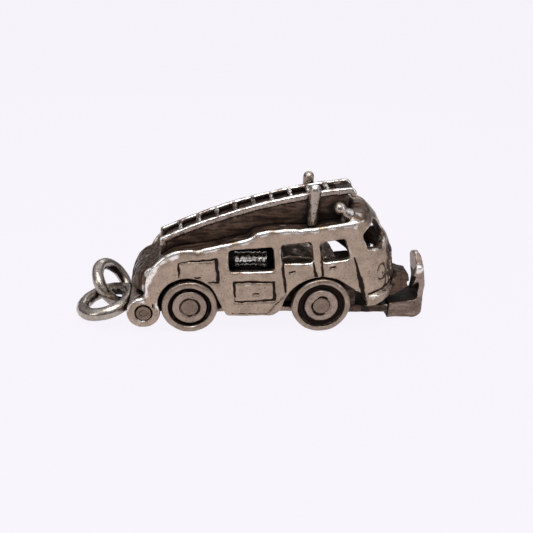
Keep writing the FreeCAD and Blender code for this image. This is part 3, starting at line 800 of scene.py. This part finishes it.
def lugHighlight(surface):
    x, y, z = surface.co.T
    ledge = lugLook["shine"] * bell(z, lugLook["ledge"], lugLook["shineWidth"])
    return ledge * (y < lugLook["side"]) * (x > lugLook["front"])


# brown cushions with a painted highlight on their tops; painted shade makes the pedestals nearly black and the
# lower part browner
seatLook = dict(stain=0.5, low=(5.6, -0.4), lowStain=0.4)


def seatStainAndShade(surface):
    low = fade(surface.co[:, 2], *seatLook["low"])
    return seatLook["stain"] + seatLook["lowStain"] * low, np.zeros(len(low))


def byHeight(amount, start, run):
    return lambda surface: amount * fade(surface.co[:, 2], start, run)


def evenly(amount):
    return lambda surface: np.full(len(surface.co), amount)


def allOver(amount, tall=0.0):
    return lambda surface: (np.full(len(surface.co), amount), np.full(len(surface.co), tall))


class Group(Bench):
    # a geometry node group with named inputs, worked out to a plain mesh
    def __init__(self, name, numbers):
        super().__init__(bpy.data.node_groups.new(name, "GeometryNodeTree"))
        sockets = self.tree.interface
        self.values = {}
        for key, value in numbers.items():
            kind = "NodeSocketInt" if isinstance(value, int) else "NodeSocketFloat"
            self.values[sockets.new_socket(key, in_out="INPUT", socket_type=kind).identifier] = value
        made = sockets.new_socket("Material", in_out="INPUT", socket_type="NodeSocketMaterial")
        self.values[made.identifier] = materials["silver_bright"]
        sockets.new_socket("Geometry", in_out="OUTPUT", socket_type="NodeSocketGeometry")
        self.given = self.tree.nodes.new("NodeGroupInput")

    def number(self, key):
        return Wire(self, self.given.outputs[key])

    def vector(self, x, y, z):
        return self.node("ShaderNodeCombineXYZ", {0: x, 1: y, 2: z})

    def random(self, low, high, salt):
        seed = self.number("Seed") + salt
        return self.node("FunctionNodeRandomValue", {0: low, 1: high, "Seed": seed}, data_type="FLOAT_VECTOR")

    def lumpy(self, shape, scale, amount):
        noise = self.node("ShaderNodeTexNoise", {"Scale": scale}, "Color")
        centred = self.node("ShaderNodeVectorMath", {0: noise, 1: (0.5,) * 3}, operation="SUBTRACT")
        offset = self.node("ShaderNodeVectorMath", {0: centred, 1: (amount,) * 3}, operation="MULTIPLY")
        return self.node("GeometryNodeSetPosition", {"Geometry": shape, "Offset": offset})

    def row(self, *place):
        step = self.vector(self.number("Pitch"), 0.0, 0.0)
        inputs = {"Count": self.number("Count"), "Start Location": self.vector(*place), "Offset": step}
        return self.node("GeometryNodeMeshLine", inputs)

    def repeat(self, points, shape, turn, size):
        inputs = {"Points": points, "Instance": shape, "Rotation": turn, "Scale": size}
        return self.node("GeometryNodeInstanceOnPoints", inputs)

    def mesh(self, parts):
        joined = self.node("GeometryNodeJoinGeometry", {"Geometry": parts})
        real = self.node("GeometryNodeRealizeInstances", {"Geometry": joined})
        slot = self.number("Material")
        dressed = self.node("GeometryNodeSetMaterial", {"Geometry": real, "Material": slot})
        self.node("NodeGroupOutput", {"Geometry": dressed})
        obj = newObject("holder", bpy.data.meshes.new(self.tree.name))
        modifier = obj.modifiers.new("repeat", "NODES")
        modifier.node_group = self.tree
        for key, value in self.values.items():
            modifier[key] = value
        return evaluated(obj)


def circleThrough(points):
    grid = np.array([[2 * x, 2 * z, 1] for x, z in points])
    x, z, rest = np.linalg.solve(grid, [x * x + z * z for x, z in points])
    return dict(CircleX=x, CircleZ=z, CircleRadius=float(np.sqrt(rest + x * x + z * z)))


# rungs: number, first place and pitch along the ladder, thickness and half length, in millimetres
rungSet = dict(Count=9, First=2.9, Pitch=1.43, Radius=0.15, Reach=1.05, Drop=0.21, Lump=0.17, Seed=4)
# smallest and largest sizes of rungs and solder, and the scale and height of lumps
rungSizes = ((0.8, 0.8, 0.9), (1.25, 1.25, 1.0))
solderSizes = ((0.6,) * 3, (1.35, 1.1, 1.1))
rungLumps = (2.2, 0.12)
# three points that the ladder's arc runs through, as x and z
ladderArc = ((1.35, 7.25), (8.7, 10.15), (15.9, 11.68))
# dark web that closes the front end of the ladder: a sheet painted black that stands for the shade in the opening
# there
ladderShadeWeb = dict(run=(15.25, 16.25, 0.08), step=0.16, top=11.22, slope=0.10, thickness=0.2)


def rungs():
    # rungs of uneven thickness, with a lump of solder at each end
    group = Group("rungs", {**rungSet, **circleThrough(ladderArc)})
    line = group.row(group.number("First"), 0.0, 0.0)
    x = group.node("ShaderNodeSeparateXYZ", {0: group.node("GeometryNodeInputPosition")})
    inwards = x - group.number("CircleX")
    radius = group.number("CircleRadius")
    rise = (radius * radius - inwards * inwards).combine("POWER", 0.5)
    height = rise + group.number("CircleZ") - group.number("Drop")
    arc = group.vector(x, 0.0, height)
    curved = group.node("GeometryNodeSetPosition", {"Geometry": line, "Position": arc})
    thick, length = group.number("Radius"), group.number("Reach") * 2
    inputs = {"Vertices": 14, "Side Segments": 12, "Radius": thick, "Depth": length}
    bar = group.node("GeometryNodeMeshCylinder", inputs)
    lump = group.node("GeometryNodeMeshIcoSphere", {"Radius": group.number("Lump"), "Subdivisions": 3})
    size = group.random(*rungSizes, 1)
    parts = [group.repeat(curved, group.lumpy(bar, *rungLumps), (pi / 2, 0, 0), size)]
    for side in (-1, 1):
        aside = group.vector(0.0, group.number("Reach") * side, 0.0)
        ends = group.node("GeometryNodeSetPosition", {"Geometry": curved, "Offset": aside})
        parts.append(group.repeat(ends, lump, (0, 0, 0), group.random(*solderSizes, 3 + side)))
    work = bmesh.new()
    work.from_mesh(group.mesh(parts))
    for x in np.arange(*ladderShadeWeb["run"]):
        height = ladderShadeWeb["top"] + ladderShadeWeb["slope"] * (x - ladderShadeWeb["run"][0])
        addBox(work, (x, 0, height), (ladderShadeWeb["step"], 2 * rungSet["Reach"], ladderShadeWeb["thickness"]))
    return finished(work, "ladderExtra")


# two corners of the block with which the bed runs on to the cab roof
bedBlock = ((15.0, -1.15, 9.0), (16.0, 1.15, 11.1))


def bedEnd():
    work = bmesh.new()
    low, high = (np.array(corner) for corner in bedBlock)
    addBox(work, (low + high) / 2, high - low)
    return finished(work, "bedEnd")


def lumps(*places):
    # balls in a row that the skin joins, each x, y, z, radius
    def build():
        work = bmesh.new()
        for start, end in zip(places, places[1:]):
            for share in np.linspace(0, 1, 5):
                *centre, radius = (1 - share) * np.array(start) + share * np.array(end)
                middle = Matrix.Translation(centre)
                bmesh.ops.create_icosphere(work, subdivisions=3, radius=radius, matrix=middle)
        return finished(work, "lumps")
    return build


# loops of cord, and how far they lean and how large they are, least and most
turnSet = dict(Count=8, First=7.3, Pitch=0.335, Height=5.55, Side=-1.1, Radius=0.47, Cord=0.17, Seed=9)
turnLeans = ((-0.1, pi / 2 - 0.22, -0.1), (0.1, pi / 2 + 0.22, 0.1))
turnSizes = ((0.86,) * 3, (1.05,) * 3)
turnLumps = (1.7, 0.12)


def hoseTurns():
    # they lie side by side, each a little askew
    group = Group("hoseTurns", turnSet)
    line = group.row(group.number("First"), group.number("Side"), group.number("Height"))
    loop, cord = (group.node("GeometryNodeCurvePrimitiveCircle", {"Resolution": steps, "Radius": radius})
                  for steps, radius in ((40, group.number("Radius")), (12, group.number("Cord"))))
    ring = group.node("GeometryNodeCurveToMesh", {"Curve": loop, "Profile Curve": cord})
    turn = group.random(*turnLeans, 1)
    size = group.random(*turnSizes, 2)
    return group.mesh([group.repeat(line, group.lumpy(ring, *turnLumps), turn, size)])


# what a cast piece has unless its own settings say otherwise
usual = dict(body="base", relax=3, melt=0, sink=0.7, nudge=0, limit=60000, inner=0.6, gain=1.0, extra=None,
             soft=None, carve=None, ink=evenly(0.0), stain=allOver(0.0), bright=evenly(0.0))
gallowsPiece = dict(body="shell", voxel=0.06, relax=5, swell=0.05, sink=-0.7)
axlePiece = dict(voxel=0.05, swell=0.015)
# seats: painted highlight on the tops, painted shade on the pedestals
seatPiece = dict(voxel=0.08, relax=4, melt=5, swell=0.12, sink=0.3, stain=seatStainAndShade, inner=0.0,
                 gain=0.25, bright=byHeight(0.9, 5.5, 0.4), ink=byHeight(0.5, 5.4, -0.4))
# balls that carry the hook on from the strip
hookLumps = ((22.58, -1.15, 4.8, 0.42), (22.34, -1.0, 3.65, 0.28), (22.42, -0.5, 2.9, 0.3))
# voxel: size of the skin's steps; relax, melt: rounds of smoothing; swell: height of unevenness;
# sink: how many times that height the skin is drawn in; gain, inner: how strongly hollows are blackened
# bright: painted highlight laid over the rubbed wear; ink: engraved lines, and painted shade on some pieces
pieceSets = dict(
    body_shell=dict(
        body="shell", voxel=0.085, melt=9, swell=0.02, sink=-0.5, limit=185000, carve=carveShell,
        ink=shellInk, stain=shellStainAndShade, soft=shellSoft, bright=shellHighlights),
    ladder_bed=dict(
        body="shell", voxel=0.075, swell=0.05, sink=0.1, stain=bedStain, ink=bedInk, extra=bedEnd),
    gallows_left=dict(gallowsPiece),
    gallows_right=dict(gallowsPiece),
    # painted highlight: the siren is a little lighter all over
    siren=dict(
        body="shell", voxel=0.06, relax=4, melt=2, swell=0.06, sink=-2.6, bright=evenly(0.1),
        nudge=np.array((0.3, 0, -0.1))),
    catch_lug=dict(
        body="shell", voxel=0.06, melt=5, swell=0.08, stain=allOver(1.0, 0.4), gain=1.4, ink=lugInk,
        bright=lugHighlight),
    ladder=dict(
        body="shell", voxel=0.06, relax=4, swell=0.05, sink=-1.0, extra=rungs, stain=ladderStain,
        ink=ladderInkAndShade, gain=0.9),
    base_plate=dict(voxel=0.085, melt=3, swell=0.04, stain=baseStain, ink=baseInk),
    catch_spring=dict(
        voxel=0.07, melt=3, swell=0.04, sink=0.4, gain=0.5, inner=0.1, stain=springStain, bright=hookHighlight,
        ink=springShade, extra=lumps(*hookLumps)),
    # painted highlight: the hose is bright all over
    hose_coil=dict(voxel=0.05, swell=0.03, extra=hoseTurns, inner=0.0, gain=0.25, bright=evenly(0.75)),
    hose_stand=dict(voxel=0.08, relax=2, swell=0.02, stain=allOver(0.6)),
    crew_seat=dict(seatPiece),
    driver_seat=dict(seatPiece),
    # painted highlight: the steering post is bright all over
    steering_post=dict(voxel=0.05, swell=0.02, inner=0.0, gain=0.2, bright=evenly(0.6)),
    charm_ring=dict(voxel=0.06, swell=0.03, sink=0.2),
    jump_ring=dict(body="jump_ring", voxel=0.06, swell=0.025, sink=0.2),
    hinge_pin=dict(voxel=0.05, swell=0.05, stain=allOver(0.45), ink=pinInk),
    front_axle=dict(axlePiece),
    rear_axle=dict(axlePiece),
)
for end in ("front", "rear"):
    for side in ("left", "right"):
        wheel = f"wheel_{end}_{side}"
        pieceSets[wheel] = dict(body=wheel, voxel=0.06, melt=3, swell=0.03, sink=0.0, gain=0.85,
                                carve=carveHub(end), ink=hubInk(end))

# step towards the neighbours, then back; melting only steps towards them
relaxSteps = (0.55, -0.57)
meltSteps = (0.5, 0.0)
softRounds = 26
# height, period and number of waves of the broad and the fine swell of a cast skin
swellSet = dict(broad=(0.5, 2.4, 7), fine=(0.25, 0.8, 9))


def sculpt(name):
    look = {**usual, **pieceSets[name]}
    source = fromNode(name)
    if look["extra"]:
        work = bmesh.new()
        work.from_mesh(source)
        work.from_mesh(look["extra"]())
        source = finished(work, name)
    surface = Surface(voxelSkin(source, look["voxel"]))
    surface.co += look["nudge"]
    surface.relax(look["relax"], *relaxSteps)
    surface.relax(look["melt"], *meltSteps)
    if look["soft"]:
        step, push = meltSteps
        surface.relax(softRounds, step * look["soft"](surface)[:, None], push)
    seed = sum(map(ord, name))
    (tall, *broad), (low, *fine) = swellSet["broad"], swellSet["fine"]
    swell = tall * waves(surface.co, *broad, seed) + low * waves(surface.co, *fine, seed + 1)
    surface.shift(look["swell"] * (swell - look["sink"]))
    if look["carve"]:
        look["carve"](surface)
    return Surface(thin(surface.mesh, look["limit"]))


def rayTreeOf(surfaces):
    # all cast pieces at rest in one tree
    corners, faces = [], []
    for surface in surfaces:
        start = len(corners)
        corners.extend(map(tuple, surface.co))
        faces.extend([start + v for v in p.vertices] for p in surface.mesh.polygons)
    return BVHTree.FromPolygons(corners, faces)


# rays from each sampled vertex; nearFade: how much a hit at full reach counts less than a close one
raySet = dict(count=26, turn=2.39996, flat=0.1, reach=3.2, farReach=11.0, nearFade=0.6, offset=0.03, sample=4,
              spread=5)


def recessOf(surface, rayTree, seed):
    # share of rays from each vertex that meet silver near by, and within a longer reach;
    # measured on some vertices and spread to the rest
    turn = np.arange(raySet["count"])
    height = 1 - (2 * turn + 1) / raySet["count"]
    ring, angle = np.sqrt(1 - height**2), turn * raySet["turn"]
    directions = np.stack([ring * np.cos(angle), ring * np.sin(angle), height], 1)
    vectors = [Vector(direction) for direction in directions]
    normals = surface.normals()
    random = np.random.default_rng(seed)
    picked = random.choice(len(surface.co), max(len(surface.co) // raySet["sample"], 1), replace=False)
    found = np.zeros((3, len(surface.co)))
    slants = normals[picked] @ directions.T
    starts = surface.co[picked] + normals[picked] * raySet["offset"]
    for index, start, leans in zip(picked, starts, slants):
        start = Vector(start)
        near = wide = weight = 0.0
        for lean, vector in zip(leans, vectors):
            if lean < raySet["flat"]:
                continue
            weight += lean
            reached = rayTree.ray_cast(start, vector, raySet["farReach"])[3]
            if reached is not None:
                wide += lean
                closeness = max(1 - raySet["nearFade"] * reached / raySet["reach"], 0)
                near += lean * closeness * (reached < raySet["reach"])
        if weight:
            found[:, index] = near / weight, wide / weight, 1
    for _ in range(raySet["spread"]):
        found = 0.5 * found + 0.5 * np.stack([surface.spread(row) for row in found])
    return found[:2] / np.maximum(found[2], 1e-4)


def bulgeOf(surface, rounds, scale):
    # how far the surface stands out from its own smoothed form: ridges positive, hollows negative
    smooth = surface.spreadPlaces(surface.co, rounds)
    return np.einsum("ij,ij->i", surface.co - smooth, surface.normals()) / scale


# rounds of smoothing that a ridge is measured against, and the height that counts as one
curveSet = dict(fine=(4, 0.03), broad=(18, 0.10))
# inside: share of blackening deep in the part, where it starts and its run; the cab is less blackened
recessSet = dict(inside=(0.5, 0.25), cab=(12.5, 1.5), cabShare=0.62, broad=0.35, fine=0.15)
# rubbed wear on ridges, with a painted highlight that grows on faces pointing up, towards the top lamp
wearAndHighlightSet = dict(fine=0.55, broad=0.45, upwards=0.25, all=0.18, patchy=(0.7, 0.5), waves=(1.3, 7))
# cast pieces stay this far inside the box round the whole part
boxMargin = 0.004


def finishPiece(name, surface, rayTree):
    look = {**usual, **pieceSets[name]}
    fine, broad = (bulgeOf(surface, *curveSet[key]) for key in ("fine", "broad"))
    enclosed, inside = recessOf(surface, rayTree, len(name))
    # painted highlight: faces that point up are painted brighter
    upwards = np.clip(wearAndHighlightSet["upwards"] + surface.normals()[:, 2], 0, 1)
    even, uneven = wearAndHighlightSet["patchy"]
    patchy = even + uneven * waves(surface.co, *wearAndHighlightSet["waves"], len(surface.co))
    cab = 1 - recessSet["cabShare"] * fade(surface.co[:, 0], *recessSet["cab"])
    inside = look["inner"] * fade(inside, *recessSet["inside"]) * cab
    recess = enclosed + inside - recessSet["broad"] * np.minimum(broad, 0)
    recess = recess - recessSet["fine"] * np.minimum(fine, 0)
    surface.keep("recess", recess * look["gain"])
    ridges = wearAndHighlightSet["fine"] * fine + wearAndHighlightSet["broad"] * broad
    wear = ridges * (1 - enclosed) * (wearAndHighlightSet["all"] + upwards) * patchy
    # each piece's own painted highlights are laid on top
    surface.keep("wear", wear + look["bright"](surface) * patchy)
    surface.keep("ink", look["ink"](surface))
    stain, tall = look["stain"](surface)
    surface.keep("stain", stain)
    surface.keep("tall", tall)
    low, high = ((np.array(corner) - origin) / mm for corner in cadBounds)
    surface.co = np.clip(surface.co, low + boxMargin, high - boxMargin)
    surface.store()
    mesh = surface.mesh
    mesh.transform(Matrix.Translation(origin) @ Matrix.Scale(mm, 4))
    mesh.polygons.foreach_set("use_smooth", [True] * len(mesh.polygons))
    mesh.materials.clear()
    mesh.materials.append(materials[slotOf[name]])
    piece = newObject("cast_" + name, mesh)
    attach(piece, look["body"])
    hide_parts(name)


makeCamera()
makeLamps()
makeWorld()
makeFloor()
print("stage ready")
slotOf = {part["node"]: part["material_slot"] for part in frame["record"]["subparts"]}
materials = {name: makeSilver(name) for name in silverSets}
surfaces = {name: sculpt(name) for name in pieceSets}
print("pieces sculpted:", sum(len(s.co) for s in surfaces.values()), "points")
rayTree = rayTreeOf(surfaces.values())
print("ray tree ready")
for name, surface in surfaces.items():
    finishPiece(name, surface, rayTree)
print("pieces finished")
bpy.context.scene.view_settings.view_transform = "Standard"
